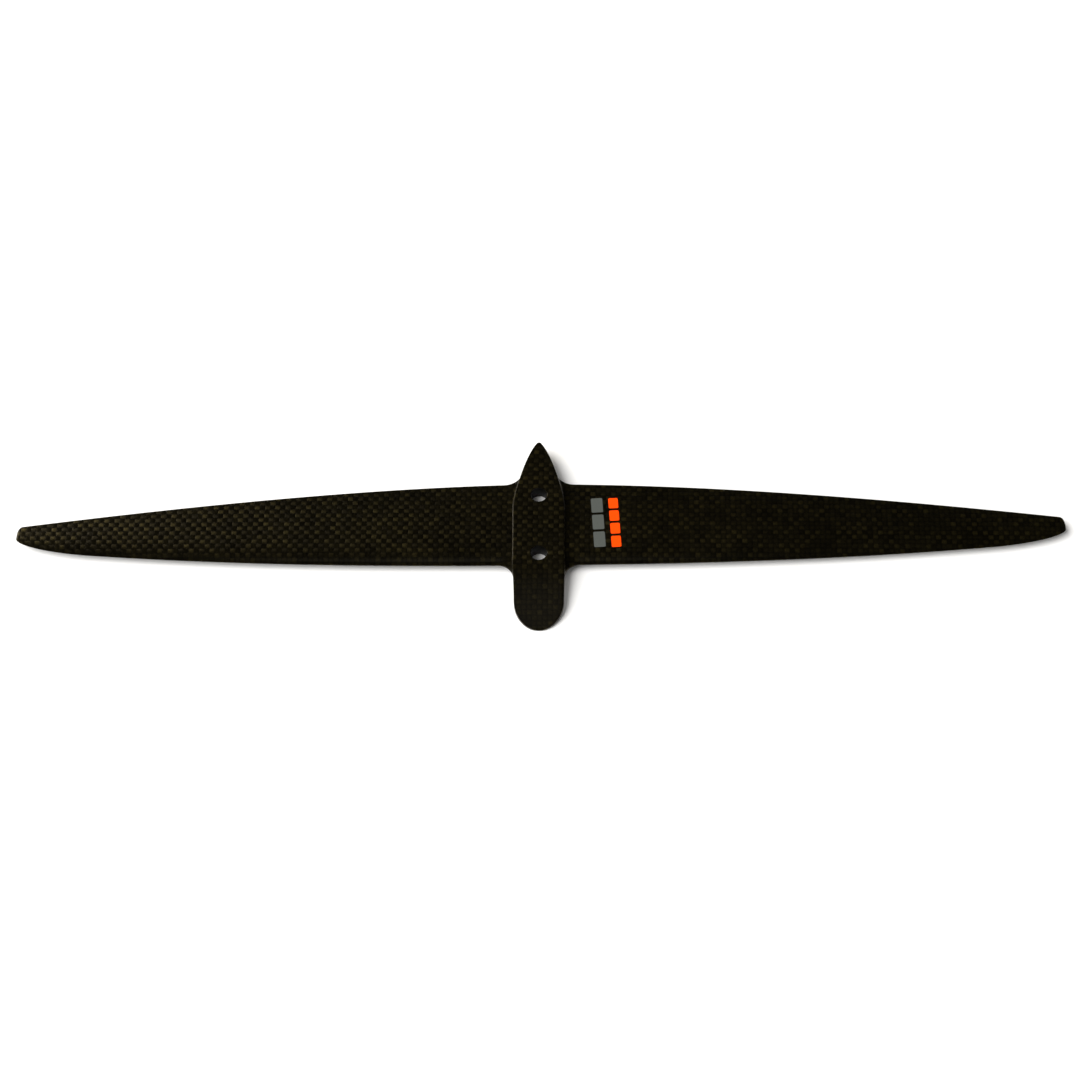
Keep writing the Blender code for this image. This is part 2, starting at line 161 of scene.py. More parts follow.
hub = {
    "halfWidth": 10.3 * mm,
    "top": cadHigh.z,
    "tailReach": cadHigh.y,
    "tailStart": 8 * mm,
    "tailCurve": 1.35,  # the side leaves the straight hub gently
    "tailPower": 0.72,  # and closes in a small round tip
    "tailRiseStart": 20 * mm,
    "tailRise": 4.4 * mm,
    "tailRisePower": 1.5,
    "tongueReach": -cadLow.y,
    "tongueHalfWidth": 9.9 * mm,
    "tongueRound": 12 * mm,
    "tongueTip": 0.9 * mm,
    "tongueSlopePower": 1.3,
    "jointLevel": 27 * mm,  # the joint of the two skins is level this far ahead and behind
    "topEdge": 0.18 * mm,
    "bottomEdge": 0.8 * mm,
    "endEdge": 0.7 * mm,
    "rootFillet": (0.2 * mm, 2.2 * mm),  # smallest and largest, where a side runs into the wing
    "rootFilletGrowth": 0.2 / mm,  # with the square of the step from the wing up to the hub
    "rootFilletFade": 2.4 * mm,  # from either edge of the wing
}


def hubHalfWidth(y):
    h = hub
    if y > h["tailStart"]:
        share = clamp((y - h["tailStart"]) / (h["tailReach"] - h["tailStart"]))
        return h["halfWidth"] * (1 - share ** h["tailCurve"]) ** h["tailPower"]
    roundStart = -h["tongueReach"] + h["tongueRound"]
    closing = smooth((-wing["leadAhead"] - y) / (-wing["leadAhead"] - roundStart))
    end = clamp((roundStart - y) / h["tongueRound"])
    return (h["halfWidth"] + (h["tongueHalfWidth"] - h["halfWidth"]) * closing) * math.sqrt(1 - end ** 2)


def jointHeight(y):
    h = hub
    if y < 0:
        share = clamp((-y - h["jointLevel"]) / (h["tongueReach"] - h["jointLevel"]))
        return wing["height"] + (h["tongueTip"] / 2 - wing["height"]) * share
    share = clamp((y - h["jointLevel"]) / (h["tailReach"] - h["jointLevel"]))
    return wing["height"] + ((h["top"] + h["tailRise"]) / 2 - wing["height"]) * share


def hubRise(y, upper):  # from the joint of the skins to the top or the underside of the hub
    h = hub
    if upper:
        slope = clamp((-wing["leadAhead"] - y) / (h["tongueReach"] - wing["leadAhead"]))
        rise = h["top"] - (h["top"] - h["tongueTip"]) * slope ** h["tongueSlopePower"] - jointHeight(y)
    else:
        slope = clamp((y - h["tailRiseStart"]) / (h["tailReach"] - h["tailRiseStart"]))
        rise = jointHeight(y) - h["tailRise"] * slope ** h["tailRisePower"]
    end = 1 - clamp(min(y + h["tongueReach"], h["tailReach"] - y) / h["endEdge"])
    return rise * math.sqrt(1 - end ** 2)


def rootFillet(y, upper):
    h = hub
    step = hubRise(y, upper) - wingRise(hubHalfWidth(y), y)
    return clamp(h["rootFilletGrowth"] * step ** 2, *h["rootFillet"])


skin = {
    "thickness": 0.5 * mm,
    "chordRows": 44,
    "tongueRows": 30,
    "tailRows": 30,
    "hubColumns": 9,  # from the middle to where the edge starts to round
    "edgeColumns": 5,
    "wallColumns": 2,
    "filletColumns": 7,
    "firstStep": 0.3 * mm,
    "stepGrowth": 1.16,
    "longestStep": 2.8 * mm,
    "tipColumns": 26,
    "mostEdge": 0.8,  # of the height or half width, that one rounded edge may take
    "wallFade": 3 * mm,  # the inner wall comes in at the hub and fades out over this
    "straighten": 8 * mm,  # out from the hub, the columns lose the curve of its side over this
    "pastMiddle": 10 * mm,  # either edge of the wing is looked for up to here beyond the origin
    "pick": 0.1,  # of a cell, within which a corner of the flat sheet counts as found
    "closer": 0.001 * mm,  # corners nearer than this are merged
}


def deselectAll():
    if bpy.context.mode != "OBJECT":
        bpy.ops.object.mode_set(mode="OBJECT")
    bpy.ops.object.select_all(action="DESELECT")


def makeActive(piece):
    deselectAll()
    piece.select_set(True)
    bpy.context.view_layer.objects.active = piece


def pickVertices(piece, wanted):  # from edit mode and back into it
    bpy.ops.mesh.select_all(action="DESELECT")
    bpy.ops.object.mode_set(mode="OBJECT")
    for vertex in piece.data.vertices:
        vertex.select = wanted(vertex.co)
    bpy.ops.object.mode_set(mode="EDIT")


def wingSteps():  # distances of the columns from the foot of the hub's fillet out to the tip
    s = skin
    reach = wing["halfSpan"] - hub["halfWidth"]
    rounding = reach - wing["tipRound"]
    steps = []
    step = s["firstStep"]
    place = step
    while place < rounding - s["longestStep"] / 2:
        steps.append(place)
        step = min(step * s["stepGrowth"], s["longestStep"])
        place += step
    steps.append(rounding)
    for column in range(1, s["tipColumns"] + 1):
        steps.append(rounding + wing["tipRound"] * math.sin(math.pi / 2 * column / s["tipColumns"]))
    return steps


wingColumns = wingSteps()
wallColumn = skin["hubColumns"] + skin["edgeColumns"] + skin["wallColumns"]
filletEnd = wallColumn + skin["filletColumns"]
lastColumn = filletEnd + len(wingColumns)


def columnPlace(column, y, upper):  # distance from the middle of a column outside the hub's wall
    if column <= filletEnd:
        angle = math.pi / 2 * (column - wallColumn) / skin["filletColumns"]
        return hubHalfWidth(y) + rootFillet(y, upper) * (1 - math.cos(angle))
    out = wingColumns[column - filletEnd - 1]
    curve = 1 - smooth(out / skin["straighten"])
    away = hubHalfWidth(y) - hub["halfWidth"] + rootFillet(y, upper)
    return hub["halfWidth"] + out + away * curve


def columnEnd(column, upper, edge, near, far):  # y where a column meets an edge of the wing
    for _ in range(bisections):
        middle = (near + far) / 2
        if edge(columnPlace(column, middle, upper)) > middle:
            near = middle
        else:
            far = middle
    return middle


def columnEnds(upper):
    ends = {}
    for column in range(wallColumn, lastColumn + 1):
        ends[column] = (columnEnd(column, upper, leadingEdge, -hub["tongueReach"], skin["pastMiddle"]),
                        columnEnd(column, upper, trailingEdge, -skin["pastMiddle"], hub["tailReach"]))
    return ends


def rowShare(row):
    return (1 - math.cos(math.pi * row / skin["chordRows"])) / 2


def hubRow(row, ends):  # y of a row across the hub
    s = skin
    front, rear = ends[wallColumn]
    if row < 0:
        return front - (hub["tongueReach"] + front) * math.sin(math.pi / 2 * -row / s["tongueRows"])
    if row > s["chordRows"]:
        share = (row - s["chordRows"]) / s["tailRows"]
        return rear + (hub["tailReach"] - rear) * math.sin(math.pi / 2 * share)
    return front + (rear - front) * rowShare(row)


def skinPoint(column, row, upper, ends):  # x, y, rise from the joint, and how far the inner wall comes in
    s = skin
    h = hub
    if column > wallColumn:
        front, rear = ends[column]
        y = front + (rear - front) * rowShare(row)
        x = columnPlace(column, y, upper)
        rise = wingRise(x, y)
        if column <= filletEnd:
            angle = math.pi / 2 * (column - wallColumn) / s["filletColumns"]
            rise += rootFillet(y, upper) * (1 - math.sin(angle)) * edgeFade(y, front, rear)
        return x, y, rise, s["thickness"] * (1 - smooth((x - hubHalfWidth(y)) / s["wallFade"]))
    y = hubRow(row, ends)
    half = hubHalfWidth(y)
    full = hubRise(y, upper)
    rounding = min(h["topEdge"] if upper else h["bottomEdge"], s["mostEdge"] * full, s["mostEdge"] * half)
    foot = 0
    if 0 <= row <= s["chordRows"]:
        foot = wingRise(half, y) + rootFillet(y, upper) * edgeFade(y, *ends[wallColumn])
    if column <= s["hubColumns"]:
        x = (half - rounding) * column / s["hubColumns"]
        rise = full
    elif column <= s["hubColumns"] + s["edgeColumns"]:
        angle = math.pi / 2 * (column - s["hubColumns"]) / s["edgeColumns"]
        x = half - rounding * (1 - math.sin(angle))
        rise = full - rounding * (1 - math.cos(angle))
    else:
        share = (column - s["hubColumns"] - s["edgeColumns"]) / s["wallColumns"]
        x = half
        rise = (full - rounding) * (1 - share) + foot * share
    return x, y, rise, x * s["thickness"] / max(half, 2 * s["thickness"])


def edgeFade(y, front, rear):
    return smooth(min(y - front, rear - y) / hub["rootFilletFade"])


def layFlatSheet(name):  # one unit to a cell: column across, row along, 0 outside and 1 inside
    s = skin
    deselectAll()
    bpy.ops.mesh.primitive_grid_add(x_subdivisions=2 * lastColumn, y_subdivisions=s["chordRows"], size=2,
                                    location=(0, s["chordRows"] / 2, 0))
    sheet = bpy.context.active_object
    sheet.name = name
    bpy.ops.object.transform_apply(location=True, rotation=False, scale=False)
    bpy.ops.object.mode_set(mode="EDIT")
    bpy.ops.transform.resize(value=(lastColumn, s["chordRows"] / 2, 1),
                             center_override=(0, s["chordRows"] / 2, 0))
    for edgeRow, step, count in ((0, -1, s["tongueRows"]), (s["chordRows"], 1, s["tailRows"])):
        pickVertices(sheet, lambda co: abs(co.y - edgeRow) < s["pick"] and abs(co.x) < wallColumn + s["pick"])
        for _ in range(count):
            bpy.ops.mesh.extrude_region_move(TRANSFORM_OT_translate={"value": (0, step, 0)})
    bpy.ops.mesh.select_all(action="SELECT")
    bpy.ops.mesh.extrude_region_move(TRANSFORM_OT_translate={"value": (0, 0, 1)})
    bpy.ops.object.mode_set(mode="OBJECT")
    return sheet


def shapeSkin(sheet, upper):
    ends = columnEnds(upper)
    way = 1 if upper else -1
    for vertex in sheet.data.vertices:
        column, row, inner = (round(value) for value in vertex.co)
        x, y, rise, inset = skinPoint(abs(column), row, upper, ends)
        if inner:
            x -= inset
            rise = max(0, rise - skin["thickness"])
            y = innerRow(y, ends)
        vertex.co = (math.copysign(x, column), y, jointHeight(y) + way * rise)


def innerRow(y, ends):  # brings the inner wall back from the two ends of the hub
    front, rear = ends[wallColumn]
    if y < front:
        return front + (y - front) * (1 - skin["thickness"] / (hub["tongueReach"] + front))
    if y > rear:
        return rear + (y - rear) * (1 - skin["thickness"] / (hub["tailReach"] - rear))
    return y


def closeSkin(sheet):
    makeActive(sheet)
    bpy.ops.object.mode_set(mode="EDIT")
    bpy.ops.mesh.select_all(action="SELECT")
    bpy.ops.mesh.remove_doubles(threshold=skin["closer"])
    bpy.ops.mesh.dissolve_degenerate(threshold=skin["closer"])
    bpy.ops.mesh.normals_make_consistent(inside=False)
    bpy.ops.object.mode_set(mode="OBJECT")


def ringTube(name, rings, sides, looped):  # turned: circles of (radius, height), each pulled from the last
    deselectAll()
    radius, height = rings[0]
    bpy.ops.mesh.primitive_circle_add(vertices=sides, radius=radius, location=(0, 0, height))
    tube = bpy.context.active_object
    tube.name = name
    bpy.ops.object.transform_apply(location=True, rotation=False, scale=False)
    bpy.ops.object.mode_set(mode="EDIT")
    bpy.ops.mesh.select_all(action="SELECT")
    if not looped:
        bpy.ops.mesh.edge_face_add()
        bpy.ops.mesh.select_all(action="SELECT")
    for newRadius, newHeight in rings[1:]:
        bpy.ops.mesh.extrude_region_move(TRANSFORM_OT_translate={"value": (0, 0, newHeight - height)})
        bpy.ops.transform.resize(value=(newRadius / radius, newRadius / radius, 1),
                                 center_override=(0, 0, newHeight))
        radius = newRadius
        height = newHeight
    if looped:
        bpy.ops.mesh.select_all(action="SELECT")
        bpy.ops.mesh.region_to_loop()
        bpy.ops.mesh.bridge_edge_loops()
    bpy.ops.mesh.select_all(action="SELECT")
    bpy.ops.mesh.normals_make_consistent(inside=False)
    bpy.ops.object.mode_set(mode="OBJECT")
    return tube


bolts = {
    "hole": 3.3 * mm,
    "rim": 0.2 * mm,  # radius of the rounded rim
    "rimSteps": 4,
    "beyond": 2 * mm,  # how far the cutter goes in, well past the skin
    "sides": 96,
}


def moveMesh(piece, offset):  # the object stays at the origin, and its place goes into its mesh
    makeActive(piece)
    bpy.ops.object.mode_set(mode="EDIT")
    bpy.ops.mesh.select_all(action="SELECT")
    bpy.ops.transform.translate(value=offset)
    bpy.ops.object.mode_set(mode="OBJECT")


def boltPlaces():
    places = []
    for node in ("front_bolt_sleeve", "rear_bolt_sleeve"):
        low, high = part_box(node)
        places.append(((low + high) / 2).y)
    return places


def cutBoltHoles(piece, face, way):  # face is the height of the hub's flat, and way points out of it
    b = bolts
    rings = [(b["hole"], face - way * b["beyond"]), (b["hole"], face - way * b["rim"])]
    for step in range(1, b["rimSteps"] + 1):
        angle = math.pi / 2 * step / b["rimSteps"]
        wider = b["rim"] * (1 - math.cos(angle))
        rings.append((b["hole"] + wider, face - way * b["rim"] * (1 - math.sin(angle))))
    rings.append((b["hole"] + 2 * b["rim"], face + way * b["rim"]))
    for y in boltPlaces():
        cutter = ringTube("holeCutter", rings, b["sides"], looped=False)
        makeActive(cutter)
        bpy.ops.object.mode_set(mode="EDIT")
        bpy.ops.mesh.select_all(action="DESELECT")
        bpy.ops.mesh.select_non_manifold()
        bpy.ops.mesh.edge_face_add()
        bpy.ops.mesh.select_all(action="SELECT")
        bpy.ops.mesh.normals_make_consistent(inside=False)
        bpy.ops.object.mode_set(mode="OBJECT")
        moveMesh(cutter, (0, y, 0))
        makeActive(piece)
        cut = piece.modifiers.new("bolt hole", "BOOLEAN")
        cut.operation = "DIFFERENCE"
        cut.object = cutter
        bpy.ops.object.modifier_apply(modifier=cut.name)
        bpy.data.objects.remove(cutter)


def smoothShade(piece):
    makeActive(piece)
    bpy.ops.object.shade_smooth_by_angle(angle=creaseAngle)


def makeSkin(name, node, upper):
    sheet = layFlatSheet(name)
    shapeSkin(sheet, upper)
    closeSkin(sheet)
    if upper:
        cutBoltHoles(sheet, hub["top"], 1)
    else:
        cutBoltHoles(sheet, 0, -1)
    smoothShade(sheet)
    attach(sheet, "root")
    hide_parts(node)
    print(name, "has", len(sheet.data.polygons), "faces")
    return sheet


upperSkin = makeSkin("upperSkin", "upper_skin", True)
lowerSkin = makeSkin("lowerSkin", "lower_skin", False)

sleeve = {
    "outer": 4.1 * mm,
    "inner": 3.3 * mm,
    "clearance": 0.02 * mm,  # from each skin
    "edge": 0.1 * mm,
    "edgeSteps": 2,
    "edgeAngle": math.radians(60),
    "sides": 96,
}


def makeSleeve(name, node, y):
    s = sleeve
    low = skin["thickness"] + s["clearance"]
    high = hub["top"] - skin["thickness"] - s["clearance"]
    rings = [(s["outer"], low), (s["outer"], high), (s["inner"], high), (s["inner"], low)]
    tube = ringTube(name, rings, s["sides"], looped=True)
    moveMesh(tube, (0, y, 0))
    bevel = tube.modifiers.new("edges", "BEVEL")
    bevel.width = s["edge"]
    bevel.segments = s["edgeSteps"]
    bevel.angle_limit = s["edgeAngle"]
    bpy.ops.object.modifier_apply(modifier=bevel.name)
    smoothShade(tube)
    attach(tube, "root")
    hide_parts(node)
    return tube


frontY, rearY = boltPlaces()
frontSleeve = makeSleeve("frontBoltSleeve", "front_bolt_sleeve", frontY)
rearSleeve = makeSleeve("rearBoltSleeve", "rear_bolt_sleeve", rearY)
print("sleeves made")

marks = {
    "lean": math.radians(3),
    "gap": 1.1 * mm,
    "corner": 0.55 * mm,
    "cornerSteps": 5,
    "lift": 0.012 * mm,  # off the skin
    "film": 0.06 * mm,
    "cell": 1.2 * mm,  # of the mesh, so that a block follows the curve of the skin
    "layer": 1 * mm,  # thickness of a block while it is still flat
    "fill": 0.985,  # of the length that the bars have
}


def makeMark(name, node, blocks):
    m = marks
    low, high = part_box(node)
    centre = (low + high) / 2
    length = (high.y - low.y) / math.cos(m["lean"]) * m["fill"]
    width = (high.x - low.x) - length * math.sin(m["lean"])
    block = (length - m["gap"] * (blocks - 1)) / blocks
    parts = []
    for number in range(blocks):
        y = (number - (blocks - 1) / 2) * (block + m["gap"])
        parts.append(printedBlock(width, block, y))
    makeActive(parts[0])
    for part in parts:
        part.select_set(True)
    if len(parts) > 1:
        bpy.ops.object.join()
    mark = bpy.context.active_object
    mark.name = name
    bpy.ops.object.mode_set(mode="EDIT")
    bpy.ops.mesh.select_all(action="SELECT")
    bpy.ops.transform.rotate(value=-m["lean"], orient_axis="Z", center_override=(0, 0, 0))
    bpy.ops.transform.translate(value=(centre.x, centre.y, 0))
    bpy.ops.object.mode_set(mode="OBJECT")
    for vertex in mark.data.vertices:
        lift = m["lift"] + (m["film"] if vertex.co.z > m["layer"] / 2 else 0)
        vertex.co.z = wing["height"] + wingRise(vertex.co.x, vertex.co.y) + lift
    smoothShade(mark)
    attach(mark, "root")
    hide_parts(node)
    return mark


def printedBlock(width, length, y):
    m = marks
    deselectAll()
    bpy.ops.mesh.primitive_plane_add(size=1, location=(0, 0, 0))
    block = bpy.context.active_object
    bpy.ops.object.mode_set(mode="EDIT")
    bpy.ops.transform.resize(value=(width, length, 1))
    bpy.ops.transform.translate(value=(0, y, 0))
    bpy.ops.mesh.bevel(offset=m["corner"], segments=m["cornerSteps"], affect="VERTICES")
    for axis, size, middle in (("x", width, 0), ("y", length, y)):
        count = max(2, round(size / m["cell"]))
        for cut in range(1, count):
            place = middle + size * (cut / count - 0.5)
            bpy.ops.mesh.select_all(action="SELECT")
            bpy.ops.mesh.bisect(plane_co=(place, 0, 0) if axis == "x" else (0, place, 0),
                                plane_no=(1, 0, 0) if axis == "x" else (0, 1, 0))
    bpy.ops.mesh.select_all(action="SELECT")
    bpy.ops.mesh.extrude_region_move(TRANSFORM_OT_translate={"value": (0, 0, m["layer"])})
    bpy.ops.mesh.select_all(action="SELECT")
    bpy.ops.mesh.normals_make_consistent(inside=False)
    bpy.ops.object.mode_set(mode="OBJECT")
    return block


greyMark = makeMark("greyMarking", "grey_marking", 3)
orangeMark = makeMark("orangeMarking", "orange_marking", 4)
print("marks made")


def colour(hexCode):  # sRGB hex to linear
    values = [int(hexCode[place:place + 2], 16) / 255 for place in (1, 3, 5)]
    linear = [value / 12.92 if value <= 0.04045 else ((value + 0.055) / 1.055) ** 2.4 for value in values]
    return (*linear, 1.0)


def addNode(tree, kind, settings=None, links=None):
    node = tree.nodes.new(kind)
    for name, value in (settings or {}).items():
        if isinstance(name, str) and hasattr(node, name):
            setattr(node, name, value)
        else:
            node.inputs[name].default_value = value
    for name, source in (links or {}).items():
        tree.links.new(source, node.inputs[name])
    return node


def calculate(tree, operation, first, second=None, third=None):
    settings = {"operation": operation}
    links = {}
    for place, value in enumerate((first, second, third)):
        if value is None:
            continue
        if isinstance(value, (int, float)):
            settings[place] = value
        else:
            links[place] = value
    return addNode(tree, "ShaderNodeMath", settings, links).outputs[0]


def spread(tree, value, least, extra):  # least plus a share of extra
    return calculate(tree, "MULTIPLY_ADD", value, extra, least)


def newMaterial(name):
    material = bpy.data.materials.new(name)
    material.use_nodes = True
    tree = material.node_tree
    tree.nodes.clear()
    return material, tree


def wear(piece, material):
    piece.data.materials.clear()
    piece.data.materials.append(material)


cloth = {
    "tow": 2.08 * mm,  # width of one 3K tow, as woven
    "turn": math.radians(0.6),
    "sway": 0.5 * mm,  # how far a tow wanders to the side
    "swayLength": 16.67 * mm,
    # one carbon in two base colours: the chord tows lighter as a painted highlight, the span tows darker as
    # painted shade
    "chordTowWithPaintedSheen": "#2c2814",
    "spanTowWithPaintedShade": "#221f11",
    "valley": "#100e07",
    "valleyPower": 0.6,  # less than 1 keeps the dark of the valleys narrow
    "crown": 0.09 * mm,
    "bluntAcross": 0.45,  # of a crown, across its tow and along it: 0 is flat, 1 is round
    "bluntAlong": 0.7,
    "fibre": 0.012 * mm,
    "fibresPerTow": 9,  # far fewer than the real 3000, so that they show
    "fibreRuns": 0.5,  # streaks in the length of one cell
    "showThrough": 0.012 * mm,  # of the crowns in the clear resin over them
    "patch": 22.22 * mm,  # where the cloth lies a little deeper or shallower in the resin
    "grain": 0.769 * mm,
    "towTone": (0.65, 0.7),  # least brightness, and what chance adds from tow to tow
    "patchTone": (0.5, 1.0),
    "grainTone": (0.2, 1.6),
    "metallic": 0.85,
    "rough": (0.36, 0.12),  # least, and what the patches add
    "anisotropy": 0.8,
    "resinWeight": 0.3,
    "resinRough": 0.22,
    "resinTint": "#fff1cf",
}


def carbonCloth():
    # 3K plain-weave carbon under clear epoxy: tows along the chord catch the light, the others stay dark,
    # and a tow shines in a line across its fibres, as brushed metal does; on top of that, the chord tows get
    # a lighter base colour as a painted highlight of their shine, and the span tows a darker one as painted
    # shade
    c = cloth
    material, tree = newMaterial("carbonCloth")
    place = addNode(tree, "ShaderNodeTexCoord").outputs["Object"]
    warp = addNode(tree, "ShaderNodeTexNoise", {"Scale": 1 / c["swayLength"], "Detail": 2.0},
                   {"Vector": place})
    sway = addNode(tree, "ShaderNodeVectorMath", {"operation": "SCALE", "Scale": c["sway"]},
                   {0: warp.outputs["Color"]})
    bent = addNode(tree, "ShaderNodeVectorMath", {"operation": "ADD"}, {0: place, 1: sway.outputs[0]})
    cells = addNode(tree, "ShaderNodeMapping",
                    {"Rotation": Euler((0, 0, c["turn"])), "Scale": (1 / c["tow"],) * 3},
                    {"Vector": bent.outputs[0]})
    split = addNode(tree, "ShaderNodeSeparateXYZ", {}, {0: cells.outputs[0]})
    u = split.outputs[0]
    v = split.outputs[1]
    cellU = calculate(tree, "FLOOR", u)
    cellV = calculate(tree, "FLOOR", v)
    chordOnTop = calculate(tree, "FLOORED_MODULO", calculate(tree, "ADD", cellU, cellV), 2.0)
    inU = calculate(tree, "SUBTRACT", calculate(tree, "FRACT", u), 0.5)
    inV = calculate(tree, "SUBTRACT", calculate(tree, "FRACT", v), 0.5)
    domeU = calculate(tree, "COSINE", calculate(tree, "MULTIPLY", inU, math.pi))
    domeV = calculate(tree, "COSINE", calculate(tree, "MULTIPLY", inV, math.pi))
    across = addNode(tree, "ShaderNodeMix", {}, {0: chordOnTop, 2: domeV, 3: domeU}).outputs[0]
    along = addNode(tree, "ShaderNodeMix", {}, {0: chordOnTop, 2: domeU, 3: domeV}).outputs[0]
    crown = calculate(tree, "MULTIPLY", calculate(tree, "POWER", across, c["bluntAcross"]),
                      calculate(tree, "POWER", along, c["bluntAlong"]))
    cellId = addNode(tree, "ShaderNodeCombineXYZ", {}, {0: cellU, 1: cellV})
    chance = addNode(tree, "ShaderNodeTexWhiteNoise", {"noise_dimensions": "2D"},
                     {"Vector": cellId.outputs[0]})
    patches = addNode(tree, "ShaderNodeTexNoise",
                      {"Scale": 1 / c["patch"], "Detail": 3.0, "Roughness": 0.6}, {"Vector": place})
    grain = addNode(tree, "ShaderNodeTexNoise", {"Scale": 1 / c["grain"], "Detail": 2.0}, {"Vector": place})
    chordFibres = addNode(tree, "ShaderNodeMapping", {"Scale": (c["fibresPerTow"], c["fibreRuns"], 1)},
                          {"Vector": cells.outputs[0]})
    spanFibres = addNode(tree, "ShaderNodeMapping", {"Scale": (c["fibreRuns"], c["fibresPerTow"], 1)},
                         {"Vector": cells.outputs[0]})
    fibreWay = addNode(tree, "ShaderNodeMix", {"data_type": "VECTOR"},
                       {0: chordOnTop, 4: spanFibres.outputs[0], 5: chordFibres.outputs[0]})
    fibres = addNode(tree, "ShaderNodeTexNoise", {"Scale": 1.0, "Detail": 2.0},
                     {"Vector": fibreWay.outputs[1]})
    # painted highlight: a chord tow on top gets a random share of the lighter colour, and a span tow keeps
    # the darker painted-shade colour
    towColourWithPaintedSheen = addNode(tree, "ShaderNodeMix",
                        {"data_type": "RGBA", 6: colour(c["spanTowWithPaintedShade"]), 7: colour(c["chordTowWithPaintedSheen"])},
                        {0: calculate(tree, "MULTIPLY", chordOnTop, chance.outputs["Value"])})
    filled = addNode(tree, "ShaderNodeMix", {"data_type": "RGBA", 6: colour(c["valley"])},
                     {0: calculate(tree, "POWER", crown, c["valleyPower"]), 7: towColourWithPaintedSheen.outputs[2]})
    fineTone = calculate(tree, "MULTIPLY", spread(tree, patches.outputs[0], *c["patchTone"]),
                         spread(tree, grain.outputs[0], *c["grainTone"]))
    uneven = calculate(tree, "MULTIPLY", spread(tree, chance.outputs["Value"], *c["towTone"]), fineTone)
    shaded = addNode(tree, "ShaderNodeVectorMath", {"operation": "SCALE"},
                     {0: filled.outputs[2], "Scale": uneven})
    towBump = addNode(tree, "ShaderNodeBump", {"Strength": 1.0, "Distance": c["crown"]}, {"Height": crown})
    fibreBump = addNode(tree, "ShaderNodeBump", {"Strength": 1.0, "Distance": c["fibre"]},
                        {"Height": fibres.outputs[0], "Normal": towBump.outputs[0]})
    coatBump = addNode(tree, "ShaderNodeBump", {"Strength": 1.0, "Distance": c["showThrough"]},
                       {"Height": crown})
    alongX = addNode(tree, "ShaderNodeCombineXYZ", {0: 1.0})
    alongY = addNode(tree, "ShaderNodeCombineXYZ", {1: 1.0})
    acrossTow = addNode(tree, "ShaderNodeMix", {"data_type": "VECTOR"},
                        {0: chordOnTop, 4: alongY.outputs[0], 5: alongX.outputs[0]})
    rough = spread(tree, patches.outputs[0], *c["rough"])
    shader = addNode(tree, "ShaderNodeBsdfPrincipled",
                     {"Metallic": c["metallic"], "Anisotropic": c["anisotropy"],
                      "Coat Weight": c["resinWeight"], "Coat Roughness": c["resinRough"],
                      "Coat Tint": colour(c["resinTint"])},
                     {"Base Color": shaded.outputs[0], "Roughness": rough, "Normal": fibreBump.outputs[0],
                      "Coat Normal": coatBump.outputs[0], "Tangent": acrossTow.outputs[1]})
    addNode(tree, "ShaderNodeOutputMaterial", {}, {"Surface": shader.outputs[0]})
    return material


roughSpread = 0.2  # of the roughness over a grain, half of it to either side


def grainedMaterial(name, light, dark, grain, squeeze, rough, relief, shine=0.5):
    # two tones mixed by the grain; squeeze is under 1 along fibres and over 1 across layers
    material, tree = newMaterial(name)
    place = addNode(tree, "ShaderNodeTexCoord").outputs["Object"]
    squeezed = addNode(tree, "ShaderNodeMapping", {"Scale": squeeze}, {"Vector": place})
    noise = addNode(tree, "ShaderNodeTexNoise", {"Scale": 1 / grain, "Detail": 5.0, "Roughness": 0.6},
                    {"Vector": squeezed.outputs[0]})
    tone = addNode(tree, "ShaderNodeMix", {"data_type": "RGBA", 6: colour(dark), 7: colour(light)},
                   {0: noise.outputs[0]})
    bump = addNode(tree, "ShaderNodeBump", {"Strength": 1.0, "Distance": relief},
                   {"Height": noise.outputs[0]})
    shader = addNode(tree, "ShaderNodeBsdfPrincipled", {"Specular IOR Level": shine},
                     {"Base Color": tone.outputs[2], "Normal": bump.outputs[0],
                      "Roughness": spread(tree, noise.outputs[0], rough - roughSpread / 2, roughSpread)})
    addNode(tree, "ShaderNodeOutputMaterial", {}, {"Surface": shader.outputs[0]})
    return material


carbonSkin = carbonCloth()
even = (1, 1, 1)  # grain as long as it is wide

# carbon tube wound on a mandrel: nearly black, with a dull shine and rings round the wall
woundTube = grainedMaterial("woundTube", "#0e0d0a", "#060605", grain=1.11 * mm, squeeze=(1, 1, 6),
                            rough=0.5, relief=0.01 * mm, shine=0.2)

# printed film on the skin: flat colour, a satin shine, hardly any relief
greyFilm = grainedMaterial("greyFilm", "#4f524e", "#474a46", grain=0.667 * mm, squeeze=even,
                           rough=0.45, relief=0.004 * mm, shine=0.3)
orangeFilm = grainedMaterial("orangeFilm", "#ff4a02", "#f04002", grain=0.667 * mm, squeeze=even,
                             rough=0.45, relief=0.004 * mm, shine=0.1)

# closed-cell foam, milled to shape: pale and matt, with its cut cells as pores
coreFoam = grainedMaterial("coreFoam", "#dccf9e", "#bfae78", grain=0.714 * mm, squeeze=even,
                           rough=0.9, relief=0.05 * mm)

# unidirectional carbon, pressed in a mould: dark, with fibres that run along the span
spanwiseCarbon = grainedMaterial("spanwiseCarbon", "#2a2a2a", "#121212", grain=0.625 * mm,
                                 squeeze=(0.03, 1, 1), rough=0.45, relief=0.02 * mm)

# bundle of fibres wetted with resin by hand: a little shinier and coarser than the spar
wettedRoving = grainedMaterial("wettedRoving", "#303030", "#161616", grain=0.769 * mm,
                               squeeze=(0.04, 1, 1), rough=0.4, relief=0.03 * mm)

# epoxy thickened with cotton flock: even grey and half matt
filledResin = grainedMaterial("filledResin", "#5e5e5a", "#383835", grain=0.667 * mm, squeeze=even,
                              rough=0.6, relief=0.02 * mm)

